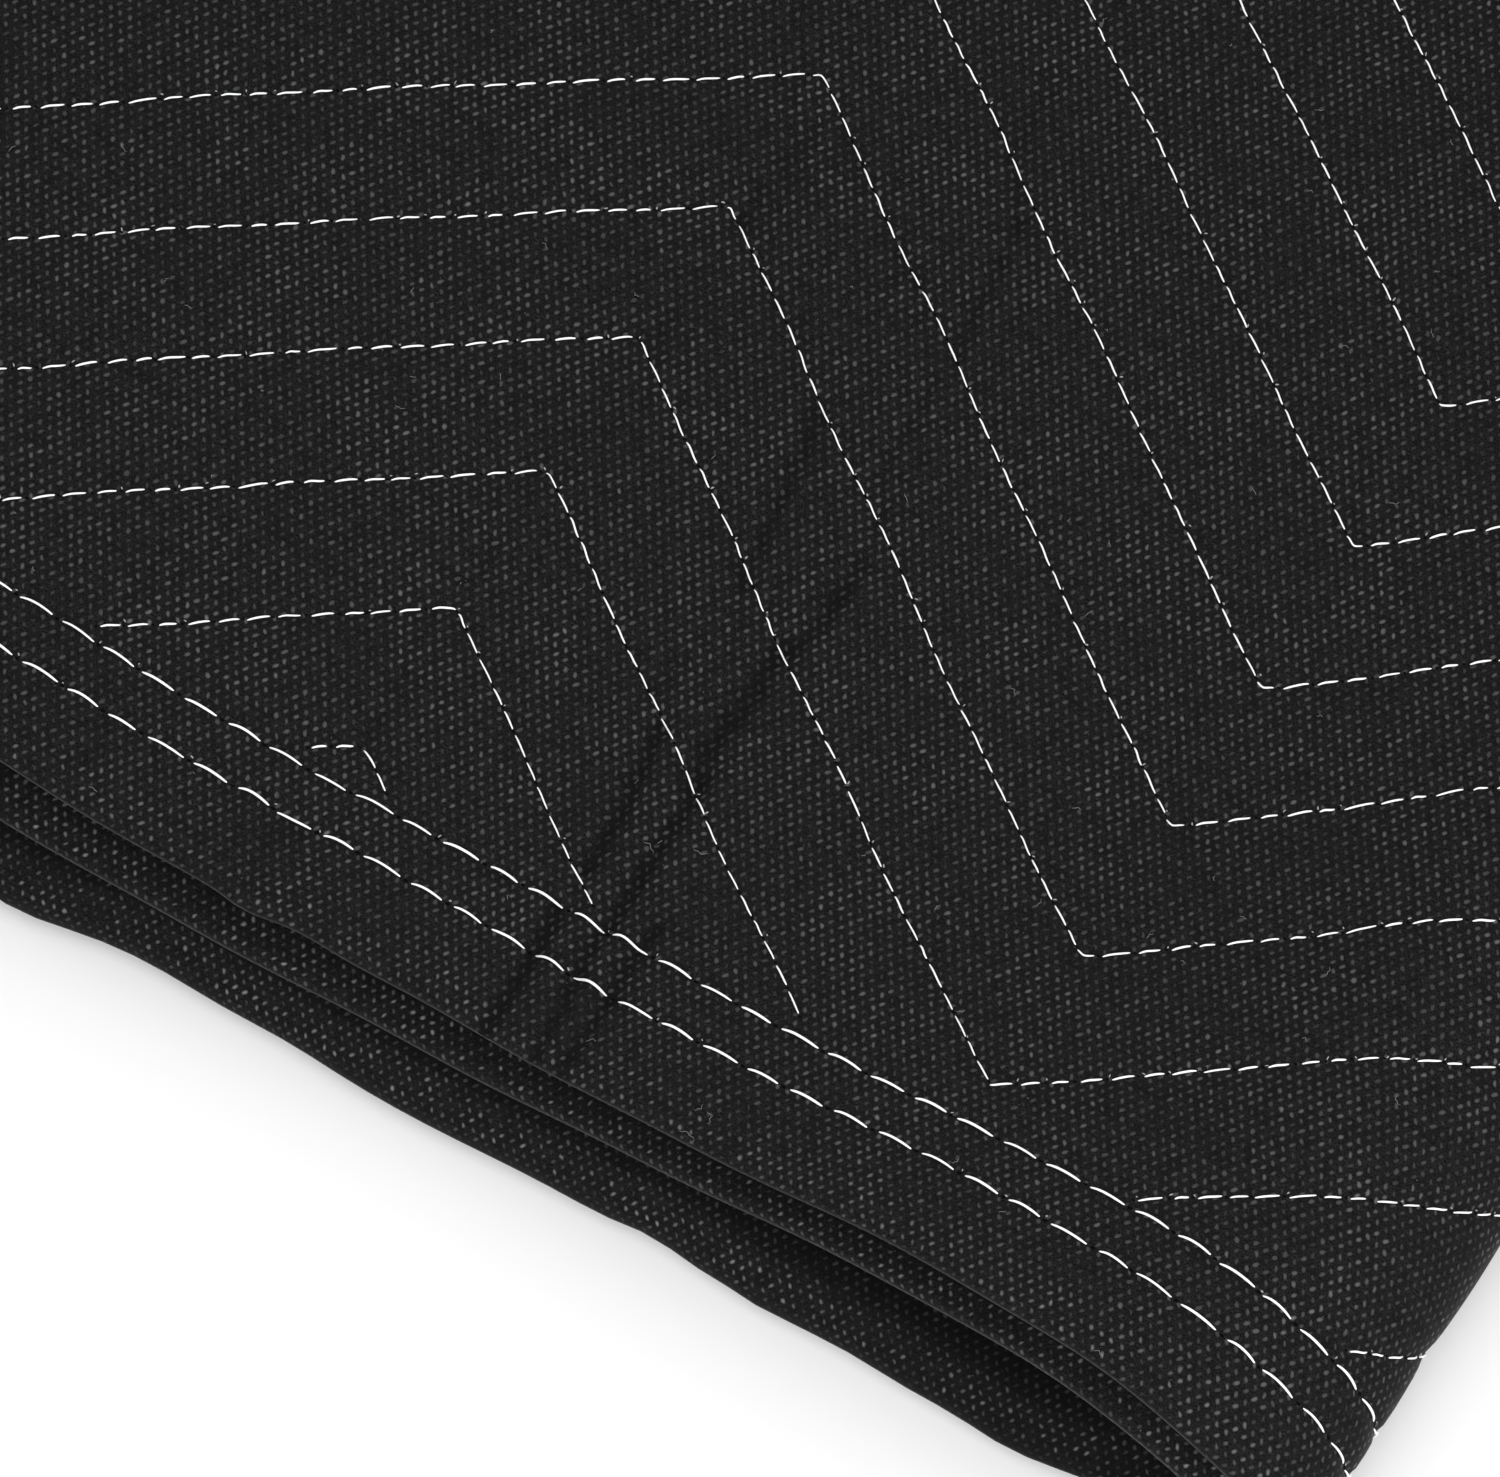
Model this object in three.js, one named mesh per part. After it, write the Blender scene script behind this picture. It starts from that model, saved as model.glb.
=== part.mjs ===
// A small quilted moving pad, folded in half and then in half again, lying on a flat surface.
// Lengths are millimetres. X runs along the plies towards the outer fold, Y runs across the pad from
// its front hem to its back hem, and Z is up. The origin is the middle of the base.
//
// One ribbon of padded cloth makes the whole folded section. Its centre line starts at the free end of
// the bottom ply, goes round the outer fold to the top ply, back round the small fold to the second
// ply, and round the inner fold to the third ply and the other free end. The ribbon's outward face is
// the one that shows on top; its inward face is the one that the folds hide.
import * as THREE from "three";

// Cloth
const THICKNESS = 5; // of one ply, between its stitch lines
const HALF = THICKNESS / 2;

// Quilting: parallel zigzag lines of stitches, each zigzag running along the pad
const GAUGE = 25.4; // from one line to the next, across the pad
const GAUGES = 37; // across the quilted field
const LEG = 108.4; // of one straight leg of a zigzag, along the pad
const LEG_RISE = 3; // gauges that a leg climbs
const LATTICE = LEG / LEG_RISE; // along the pad, in which a leg climbs one gauge
const LOW_CORNER = 81.3; // from the outer fold's nose to the nearest row of low corners
const GROOVE = 1.7; // depth of a line's groove
const SHOULDERS = [0.26, 0.74]; // of a gauge: where the padding between two grooves reaches its height

// Hem: the band along the front and back edges, with two rows of stitches
const HEM_ROWS = [
  { inset: 0, dip: 1.3 },
  { inset: 1.6, dip: 0.35 },
  { inset: 5, dip: 0 },
  { inset: 14.6, dip: 0.9 },
  { inset: 18.6, dip: 0.2 },
  { inset: 22.7, dip: 0.9 },
];
const EDGE_ROWS = HEM_ROWS.slice(0, 3); // the rounding that every edge has
const FIELD_INSET = 30; // from an edge to the quilted field
const FIELD_DIP = 0.5; // where the field meets the hem
const WIDTH = 2 * FIELD_INSET + GAUGES * GAUGE;
const CLOSE_ROWS = [62, 95, 128, 170, 225]; // insets of a plain face's rows near the front hem
const PLAIN_SPANS = 5; // of a plain face, from the last of them to the back hem

// Section: heights of the plies' centre lines at the small fold, midway, and at the outer fold
const PLIES = {
  top: { atSmallFold: 23, midway: 21.1, atOuterFold: 33.4 },
  second: { atSmallFold: 14.2, midway: 14.8, atOuterFold: 27.3 },
  third: { atSmallFold: 8.3, midway: 8.1, atOuterFold: 8.1 },
  bottom: { atSmallFold: HALF, midway: HALF, atOuterFold: HALF },
};
const SMALL_FOLD_REACH = 90; // over which the plies open towards the small fold
const OUTER_FOLD_REACH = 120; // over which they rise towards the outer fold

const NOSE_X = 229.3; // the outer fold's foremost point, on the centre line
const OUTER_FOLD = { nose: 7.7, over: 41.5, under: 6 }; // height, and reach back above and below it
const INNER_FOLD = { nose: 14, back: 9.5, under: 5, overHandle: 16, noseHandle: 6 };
const SMALL_FOLD_X = -226.8; // the small fold's rearmost point, on the centre line
const BOTTOM_END_X = -217;
const THIRD_END_X = -232;

// Lie: how far each ply has slipped forwards, in -Y
const SLIPS = {
  bottom: { atSmallFold: 8, atOuterFold: 4 },
  top: { atSmallFold: 0, atOuterFold: 0 },
  second: { atSmallFold: 9.5, atOuterFold: 2.5 },
  third: { atSmallFold: 16.5, atOuterFold: 9 },
};
// Swells and hollows of the two upper plies: where, how far each reaches, and how far it rises
const SWELLS = [
  { x: 158, y: 96, reachAlong: 50, reachAcross: 62, rise: -10.5 },
  { x: -35, y: 125, reachAlong: 85, reachAcross: 95, rise: 6 },
  { x: 152, y: 400, reachAlong: 54, reachAcross: 130, rise: -6 },
  { x: -95, y: 430, reachAlong: 90, reachAcross: 120, rise: 3.5 },
  { x: 20, y: 650, reachAlong: 110, reachAcross: 120, rise: 5 },
  { x: 156, y: 770, reachAlong: 54, reachAcross: 130, rise: -7 },
  { x: -110, y: 880, reachAlong: 90, reachAcross: 100, rise: 3 },
];
const SWELLS_END = { from: 186, to: 214 }; // places along the pad between which they fade out

// Mesh
const TURN = THREE.MathUtils.degToRad(26); // the most that the section turns between two columns
const SAG = 0.25; // the most that a straight stretch between two columns leaves the curve
const WALK = 0.5; // step along the centre line in which both are measured
const CLOSEST = 2.4; // between two columns, but for those of an edge
const SAME = 1e-4; // closer than this, two places are one

const ease = THREE.MathUtils.smoothstep;

// A value given at the small fold, midway and at the outer fold, for a place x along the pad.
function alongPly(values, x) {
  const opening = 1 - ease(x - SMALL_FOLD_X, 0, SMALL_FOLD_REACH);
  const rising = 1 - ease(NOSE_X - OUTER_FOLD.over - x, 0, OUTER_FOLD_REACH);
  return (
    values.midway +
    (values.atSmallFold - values.midway) * opening +
    (values.atOuterFold - values.midway) * rising
  );
}

// The centre line of one ply, from one x to another.
class PlyCurve extends THREE.Curve {
  constructor(heights, fromX, toX) {
    super();
    this.heights = heights;
    this.fromX = fromX;
    this.toX = toX;
  }
  getPoint(t, target = new THREE.Vector2()) {
    const x = THREE.MathUtils.lerp(this.fromX, this.toX, t);
    return target.set(x, alongPly(this.heights, x));
  }
}

// The centre line of the whole section, and the lengths along it at which its pieces end.
function sectionPath() {
  const { top, second, third, bottom } = PLIES;
  const path = new THREE.CurvePath();
  path.arcLengthDivisions = 2000;
  const quarter = Math.PI / 2;

  const underX = NOSE_X - OUTER_FOLD.under;
  const overX = NOSE_X - OUTER_FOLD.over;
  const underRise = OUTER_FOLD.nose - bottom.atOuterFold;
  const overRise = top.atOuterFold - OUTER_FOLD.nose;
  path.add(new PlyCurve(bottom, BOTTOM_END_X, underX));
  path.add(new THREE.EllipseCurve(underX, OUTER_FOLD.nose, OUTER_FOLD.under, underRise, -quarter, 0));
  path.add(new THREE.EllipseCurve(overX, OUTER_FOLD.nose, OUTER_FOLD.over, overRise, 0, quarter));

  const smallRadius = (top.atSmallFold - second.atSmallFold) / 2;
  const smallX = SMALL_FOLD_X + smallRadius;
  const smallZ = second.atSmallFold + smallRadius;
  path.add(new PlyCurve(top, overX, smallX));
  path.add(new THREE.EllipseCurve(smallX, smallZ, smallRadius, smallRadius, quarter, 3 * quarter));
  path.add(new PlyCurve(second, smallX, overX));

  const innerX = NOSE_X - INNER_FOLD.back;
  path.add(
    new THREE.CubicBezierCurve(
      new THREE.Vector2(overX, second.atOuterFold),
      new THREE.Vector2(overX + INNER_FOLD.overHandle, second.atOuterFold),
      new THREE.Vector2(innerX, INNER_FOLD.nose + INNER_FOLD.noseHandle),
      new THREE.Vector2(innerX, INNER_FOLD.nose),
    ),
  );
  const innerUnderX = innerX - INNER_FOLD.under;
  const innerFall = INNER_FOLD.nose - third.atOuterFold;
  path.add(
    new THREE.EllipseCurve(innerUnderX, INNER_FOLD.nose, INNER_FOLD.under, innerFall, 0, -quarter, true),
  );
  path.add(new PlyCurve(third, innerUnderX, THIRD_END_X));

  const [bottomEnd, noseAt, , topEnd, smallEnd, , innerNoseAt] = path.getCurveLengths();
  return { path, length: path.getLength(), bottomEnd, noseAt, topEnd, smallEnd, innerNoseAt };
}

const section = sectionPath();

// The centre line's point, and the section's outward direction there, at a length s along it.
function frameAt(s) {
  const t = THREE.MathUtils.clamp(s / section.length, 0, 1);
  const point = section.path.getPoint(t);
  const along = section.path.getTangent(t);
  return { point, outward: new THREE.Vector2(along.y, -along.x) };
}

// How far a ply has slipped forwards at a place x along the pad.
function slipOfPly({ atSmallFold, atOuterFold }, x) {
  const passed = THREE.MathUtils.inverseLerp(SMALL_FOLD_X, NOSE_X - OUTER_FOLD.over, x);
  return THREE.MathUtils.lerp(atSmallFold, atOuterFold, THREE.MathUtils.clamp(passed, 0, 1));
}

// How far the ribbon has slipped forwards at a length s. Round a fold the slip eases from one ply's
// value to the next one's.
function slipAt(s, x) {
  const turns = [
    { from: SLIPS.bottom, to: SLIPS.top, at: section.noseAt, reach: 60 },
    { from: SLIPS.top, to: SLIPS.second, at: (section.topEnd + section.smallEnd) / 2, reach: 70 },
    { from: SLIPS.second, to: SLIPS.third, at: section.innerNoseAt, reach: 60 },
  ];
  const turn = turns.find(({ at, reach }) => s < at + reach) ?? turns.at(-1);
  const passed = ease(s, turn.at - turn.reach, turn.at + turn.reach);
  return THREE.MathUtils.lerp(slipOfPly(turn.from, x), slipOfPly(turn.to, x), passed);
}

// How far the ribbon rises above its section at a length s, over a place on the floor.
function swellAt(s, x, y) {
  if (s < section.noseAt || s > section.innerNoseAt) return 0;
  const share = 1 - ease(x, SWELLS_END.from, SWELLS_END.to);
  const rises = SWELLS.map((swell) => {
    const along = (x - swell.x) / swell.reachAlong;
    const across = (y - swell.y) / swell.reachAcross;
    return swell.rise * Math.exp(-along * along - across * across);
  });
  return share * rises.reduce((sum, rise) => sum + rise, 0);
}

// Length from a line's own lowest level up to it, across the pad, at a length s along the ribbon.
function zigzagAt(s) {
  const legs = Math.abs((s - section.noseAt - LOW_CORNER) / LEG) % 2;
  return LEG_RISE * GAUGE * (legs < 1 ? legs : 2 - legs);
}

// The lengths along the ribbon at which it has a column of points: at its rounded ends, where the
// quilted face starts and stops, wherever the quilting lines cross a gauge, and wherever the section
// has bent far enough since the last column.
function columnPlaces() {
  const ends = EDGE_ROWS.map((row) => row.inset);
  const places = [...ends, ...ends.map((inset) => section.length - inset)];
  places.push(section.bottomEnd, section.smallEnd);
  const add = (s) => {
    if (places.every((at) => Math.abs(at - s) > CLOSEST)) places.push(s);
  };
  const firstCrossing = (section.noseAt + LOW_CORNER) % LATTICE;
  for (let s = firstCrossing; s < section.length; s += LATTICE) add(s);

  let last = { s: 0, outward: frameAt(0).outward };
  for (let s = WALK; s < section.length; s += WALK) {
    const { outward } = frameAt(s);
    const turned = last.outward.angleTo(outward);
    if (turned > TURN || (turned * (s - last.s)) / 8 > SAG) add(s);
    if (places.some((at) => at > s - WALK && at <= s)) last = { s, outward };
  }
  return places.sort((a, b) => a - b);
}

// Rows from the front edge to the back edge that both edges' tables give, with others between them.
function betweenEdges(edgeRows, fieldRows) {
  const front = edgeRows.map(({ inset, dip }) => ({ v: inset, dip }));
  const back = edgeRows.map(({ inset, dip }) => ({ v: WIDTH - inset, dip })).reverse();
  return [...front, ...fieldRows, ...back];
}

// Rows of a hidden or resting face.
function plainRows() {
  const lastClose = CLOSE_ROWS.at(-1);
  const span = (WIDTH - FIELD_INSET - lastClose) / PLAIN_SPANS;
  const beyond = Array.from({ length: PLAIN_SPANS }, (_, i) => lastClose + (i + 1) * span);
  const field = [FIELD_INSET, ...CLOSE_ROWS, ...beyond].map((v) => ({ v, dip: 0 }));
  return betweenEdges(EDGE_ROWS, field);
}

// Rows of a quilted face at a length s: every line's groove and the two shoulders behind it, all
// following the zigzag and cut off where the field ends. strength is 1 for full relief, 0 for none.
function quiltedRows(s, strength) {
  const low = FIELD_INSET;
  const high = WIDTH - FIELD_INSET;
  const zigzag = zigzagAt(s);
  const field = [{ v: low, dip: FIELD_DIP * strength }];
  for (let line = -LEG_RISE; line < GAUGES; line += 1) {
    for (const share of [0, ...SHOULDERS]) {
      const across = low + (line + share) * GAUGE + zigzag;
      const v = THREE.MathUtils.clamp(across, low, high);
      const cutOff = v < low + SAME || v > high - SAME;
      const depth = share === 0 ? GROOVE : 0;
      field.push({ v, dip: (cutOff ? FIELD_DIP : depth) * strength });
    }
  }
  field.push({ v: high, dip: FIELD_DIP * strength });
  const hem = HEM_ROWS.map((row, i) => (i < EDGE_ROWS.length ? row : { ...row, dip: row.dip * strength }));
  return betweenEdges(hem, field);
}

// Points and triangles of the closed surface, where equal points are one.
class Surface {
  constructor() {
    this.positions = [];
    this.triangles = [];
    this.known = new Map();
  }
  point(x, y, z) {
    const key = [x, y, z].map((value) => Math.round(value / SAME)).join();
    if (!this.known.has(key)) {
      this.known.set(key, this.positions.length / 3);
      this.positions.push(x, y, z);
    }
    return this.known.get(key);
  }
  triangle(a, b, c) {
    if (a !== b && b !== c && c !== a) this.triangles.push(a, b, c);
  }
  quad(a, b, c, d) {
    this.triangle(a, b, c);
    this.triangle(a, c, d);
  }
  // Joins two neighbouring columns of a face. Columns of unlike rows are joined by their nearest rows.
  strip(here, next, facesOut) {
    const add = facesOut ? (a, b, c) => this.triangle(a, b, c) : (a, b, c) => this.triangle(c, b, a);
    const alike = here.length === next.length;
    let i = 0;
    let j = 0;
    while (i < here.length - 1 || j < next.length - 1) {
      const stepHere = here[i + 1]?.v ?? Infinity;
      const stepNext = next[j + 1]?.v ?? Infinity;
      if (alike ? i === j : stepHere <= stepNext) {
        add(here[i].index, here[i + 1].index, next[j].index);
        i += 1;
      } else {
        add(here[i].index, next[j + 1].index, next[j].index);
        j += 1;
      }
    }
  }
  geometry() {
    const geometry = new THREE.BufferGeometry();
    geometry.setAttribute("position", new THREE.Float32BufferAttribute(this.positions, 3));
    geometry.setIndex(this.triangles);
    return geometry;
  }
}

// One column of points on the outward face, side 1, or the inward face, side -1.
function column(surface, s, rows, side) {
  const { point, outward } = frameAt(s);
  const endInset = Math.min(s, section.length - s);
  const endDip = EDGE_ROWS.find(({ inset }) => endInset <= inset + SAME)?.dip ?? 0;
  return rows.map(({ v, dip }) => {
    const out = side * (HALF - Math.max(dip, endDip));
    const x = point.x + outward.x * out;
    const y = v - slipAt(s, point.x);
    const z = point.y + outward.y * out + swellAt(s, point.x, y);
    return { v, index: surface.point(x, y, z) };
  });
}

function padGeometry() {
  const surface = new Surface();
  const places = columnPlaces();
  const isQuilted = (s) => s > section.bottomEnd - SAME && s < section.smallEnd + SAME;
  const atQuiltEnd = (s) =>
    Math.abs(s - section.bottomEnd) < SAME || Math.abs(s - section.smallEnd) < SAME;
  const outer = places.map((s) =>
    column(surface, s, isQuilted(s) ? quiltedRows(s, atQuiltEnd(s) ? 0 : 1) : plainRows(), 1),
  );
  const inner = places.map((s) => column(surface, s, plainRows(), -1));

  for (let i = 0; i < places.length - 1; i += 1) {
    surface.strip(outer[i], outer[i + 1], true);
    surface.strip(inner[i], inner[i + 1], false);
    const front = [outer[i][0], outer[i + 1][0], inner[i + 1][0], inner[i][0]];
    const back = [outer[i], inner[i], inner[i + 1], outer[i + 1]].map((points) => points.at(-1));
    surface.quad(...front.map((corner) => corner.index));
    surface.quad(...back.map((corner) => corner.index));
  }
  surface.strip(inner[0], outer[0], true);
  surface.strip(inner.at(-1), outer.at(-1), false);

  const geometry = surface.geometry();
  geometry.computeBoundingBox();
  const { min, max } = geometry.boundingBox;
  geometry.translate(-(min.x + max.x) / 2, -(min.y + max.y) / 2, -min.z);
  geometry.computeVertexNormals();
  return geometry;
}

const blackCloth = new THREE.MeshStandardMaterial({ color: 0x232324, roughness: 0.95, metalness: 0 });

const pad = new THREE.Mesh(padGeometry(), blackCloth);
pad.name = "pad";

const movingPad = new THREE.Group();
movingPad.add(pad);

export default movingPad;
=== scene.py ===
# A small black quilted moving pad, folded in half and in half again, lying on a pale floor.
# The pad's own sizes and tables are millimetres, measured as in the section: x runs along the plies
# towards the outer fold, y across the pad from its front hem, and z is up. Blender's are metres.
import math

import bpy
import numpy as np
from mathutils import Matrix, Vector


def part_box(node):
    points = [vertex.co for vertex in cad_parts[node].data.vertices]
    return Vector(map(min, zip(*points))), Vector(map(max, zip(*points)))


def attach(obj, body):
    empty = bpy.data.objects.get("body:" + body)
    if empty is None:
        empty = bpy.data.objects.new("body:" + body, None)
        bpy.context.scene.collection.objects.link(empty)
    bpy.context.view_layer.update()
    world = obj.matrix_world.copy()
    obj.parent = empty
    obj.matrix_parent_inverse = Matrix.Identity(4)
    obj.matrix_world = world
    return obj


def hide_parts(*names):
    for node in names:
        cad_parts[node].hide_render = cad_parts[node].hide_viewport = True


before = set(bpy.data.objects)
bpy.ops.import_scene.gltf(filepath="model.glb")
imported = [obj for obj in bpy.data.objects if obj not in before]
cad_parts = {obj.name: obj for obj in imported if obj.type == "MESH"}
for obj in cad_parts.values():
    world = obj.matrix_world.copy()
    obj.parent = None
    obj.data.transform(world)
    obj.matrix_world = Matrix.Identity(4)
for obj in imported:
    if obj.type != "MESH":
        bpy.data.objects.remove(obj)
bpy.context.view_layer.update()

MM = 0.001

# Cloth
THICKNESS = 5.0
HALF = THICKNESS / 2
GAUGE = 25.4  # from one quilting line to the next, across the pad
GAUGES = 37
LEG = 108.4  # of a zigzag, along the pad
LEG_RISE = 3  # gauges that a leg climbs
LOW_CORNER = 81.3  # from the outer fold's nose to the nearest low corners
FIELD_INSET = 30.0  # from the front edge to the low corners' nearest line
WIDTH = 2 * FIELD_INSET + GAUGES * GAUGE

# Section: heights of the plies' centre lines at the small fold, midway and at the outer fold
PLIES = {
    "top": (23.0, 21.1, 33.4),
    "second": (14.2, 14.8, 27.3),
    "third": (8.3, 8.1, 8.1),
    "bottom": (HALF, HALF, HALF),
}
SMALL_FOLD_REACH = 90.0
OUTER_FOLD_REACH = 120.0
NOSE_X = 229.3
OUTER_FOLD = {"nose": 7.7, "over": 41.5, "under": 6.0}
INNER_FOLD = {"nose": 14.0, "back": 9.5, "under": 5.0, "over_handle": 16.0, "nose_handle": 6.0}
SMALL_FOLD_X = -226.8
BOTTOM_END_X = -217.0
THIRD_END_X = -232.0

# Lie: how far each ply has slipped forwards at the small fold and at the outer fold
SLIPS = {"bottom": (8.0, 4.0), "top": (0.0, 0.0), "second": (9.5, 2.5), "third": (16.5, 9.0)}
SLIP_TURN = 60.0  # reach of the change from one ply's slip to the next one's
# Swells and sinks of the two upper plies: x, y, reach along, reach across and rise
SWELLS = [
    (158, 88, 48, 72, -11.0),
    (-35, 125, 85, 95, 6.0),
    (152, 400, 54, 130, -6.0),
    (-95, 430, 90, 120, 3.5),
    (20, 650, 110, 120, 5.0),
    (156, 770, 54, 130, -7.0),
    (-110, 880, 90, 100, 3.0),
    (45, 10, 26, 24, -1.2),
]
SWELLS_END = (186.0, 214.0)
CLEAR = 5.4  # between the centre lines of plies that touch


def ease(value, start, end):
    t = np.clip((value - start) / (end - start), 0, 1)
    return t * t * (3 - 2 * t)


def along_ply(heights, x):
    """A ply's height at a place x along the pad."""
    small, midway, outer = heights
    opening = 1 - ease(x - SMALL_FOLD_X, 0, SMALL_FOLD_REACH)
    rising = 1 - ease(NOSE_X - OUTER_FOLD["over"] - x, 0, OUTER_FOLD_REACH)
    return midway + (small - midway) * opening + (outer - midway) * rising


def ellipse(centre_x, centre_z, reach_x, reach_z, start, end, steps=160):
    turn = np.radians(np.linspace(start, end, steps))
    return np.c_[centre_x + reach_x * np.cos(turn), centre_z + reach_z * np.sin(turn)]


def bezier(points, steps=160):
    t = np.linspace(0, 1, steps)[:, None]
    a, b, c, d = (np.array(point) for point in points)
    return (1 - t) ** 3 * a + 3 * (1 - t) ** 2 * t * b + 3 * (1 - t) * t**2 * c + t**3 * d


def ply_line(name, start_x, end_x, steps=900):
    x = np.linspace(start_x, end_x, steps)
    return np.c_[x, along_ply(PLIES[name], x)]


class Section:
    """The ribbon's centre line, from the bottom ply's free end to the third ply's, by its length s."""

    def __init__(self):
        over_x = NOSE_X - OUTER_FOLD["over"]
        under_x = NOSE_X - OUTER_FOLD["under"]
        nose_z = OUTER_FOLD["nose"]
        top_small, _, top_outer = PLIES["top"]
        second_small, _, second_outer = PLIES["second"]
        small_radius = (top_small - second_small) / 2
        small_x = SMALL_FOLD_X + small_radius
        inner_x = NOSE_X - INNER_FOLD["back"]
        inner_z = INNER_FOLD["nose"]
        inner_under = INNER_FOLD["under"]
        third_outer = PLIES["third"][2]
        pieces = [
            ply_line("bottom", BOTTOM_END_X, under_x),
            ellipse(under_x, nose_z, OUTER_FOLD["under"], nose_z - HALF, -90, 0),
            ellipse(over_x, nose_z, OUTER_FOLD["over"], top_outer - nose_z, 0, 90),
            ply_line("top", over_x, small_x),
            ellipse(small_x, second_small + small_radius, small_radius, small_radius, 90, 270),
            ply_line("second", small_x, over_x),
            bezier(
                [
                    (over_x, second_outer),
                    (over_x + INNER_FOLD["over_handle"], second_outer),
                    (inner_x, inner_z + INNER_FOLD["nose_handle"]),
                    (inner_x, inner_z),
                ]
            ),
            ellipse(inner_x - inner_under, inner_z, inner_under, inner_z - third_outer, 0, -90),
            ply_line("third", inner_x - inner_under, THIRD_END_X),
        ]
        lengths = [np.linalg.norm(np.diff(piece, axis=0), axis=1).sum() for piece in pieces]
        ends = np.cumsum(lengths)
        self.points = np.vstack([pieces[0]] + [piece[1:] for piece in pieces[1:]])
        steps = np.linalg.norm(np.diff(self.points, axis=0), axis=1)
        self.at_points = np.r_[0, np.cumsum(steps)]
        self.length = self.at_points[-1]
        self.bottom_end, self.nose_at = ends[0], ends[1]
        self.top_end, self.small_end, self.inner_nose_at = ends[3], ends[4], ends[6]

    def point(self, s):
        return np.interp(s, self.at_points, self.points[:, 0]), np.interp(
            s, self.at_points, self.points[:, 1]
        )

    def frame(self, s, reach=0.4):
        """Place and outward direction, each as x and z."""
        x, z = self.point(s)
        ahead_x, ahead_z = self.point(s + reach)
        behind_x, behind_z = self.point(s - reach)
        along_x, along_z = ahead_x - behind_x, ahead_z - behind_z
        size = np.hypot(along_x, along_z)
        return x, z, along_z / size, -along_x / size


SECTION = Section()


def slip_of_ply(name, x):
    small, outer = SLIPS[name]
    passed = np.clip((x - SMALL_FOLD_X) / (NOSE_X - OUTER_FOLD["over"] - SMALL_FOLD_X), 0, 1)
    return small + (outer - small) * passed


def slip_at(s, x):
    """How far the ribbon has slipped forwards. Round a fold it eases from one ply's slip to the next."""
    small_at = (SECTION.top_end + SECTION.small_end) / 2
    slip = slip_of_ply("bottom", x)
    for at, name in ((SECTION.nose_at, "top"), (small_at, "second"), (SECTION.inner_nose_at, "third")):
        passed = ease(s, at - SLIP_TURN, at + SLIP_TURN)
        slip = slip + (slip_of_ply(name, x) - slip) * passed
    return slip


def swell_at(s, x, y):
    """How far the two upper plies rise or sink above a place on the floor."""
    rise = sum(
        row[4] * np.exp(-(((x - row[0]) / row[2]) ** 2) - ((y - row[1]) / row[3]) ** 2)
        for row in SWELLS
    )
    upper = (s >= SECTION.nose_at) & (s <= SECTION.inner_nose_at)
    return np.where(upper, rise * (1 - ease(x, *SWELLS_END)), 0.0)


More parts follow.
